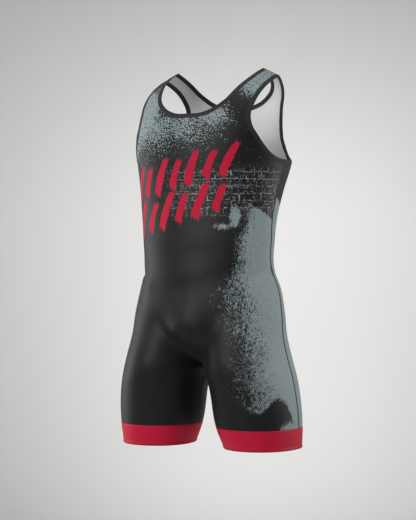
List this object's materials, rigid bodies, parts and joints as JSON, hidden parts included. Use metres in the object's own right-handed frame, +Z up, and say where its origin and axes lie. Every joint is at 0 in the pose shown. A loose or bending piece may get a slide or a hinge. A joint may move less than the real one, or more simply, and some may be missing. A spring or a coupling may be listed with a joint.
{
  "type": "wrestling singlet",
  "caption": "Sleeveless one-piece stretch sports suit with short legs, low armholes and a scoop neck, filled out as worn",
  "frame": {"origin": "midway between the two shoulder straps, at the underside of the cloth on the shoulder seam", "axes": "+Z up, -Y the garment's front, +X the wearer's left"},
  "size_m": [0.3932, 0.2517, 0.7773],
  "materials": {
    "panel_knit": "black and slate grey printed stretch knit, matt with a soft sheen",
    "binding": "black folded stretch binding with twin stitching",
    "leg_band": "crimson stretch band, soft satin"
  },
  "bodies": {
    "root": {"front_panel": "panel_knit", "back_panel": "panel_knit", "neck_binding": "binding", "armhole_binding_left": "binding", "armhole_binding_right": "binding", "leg_band_left": "leg_band", "leg_band_right": "leg_band"}
  },
  "joints": []
}
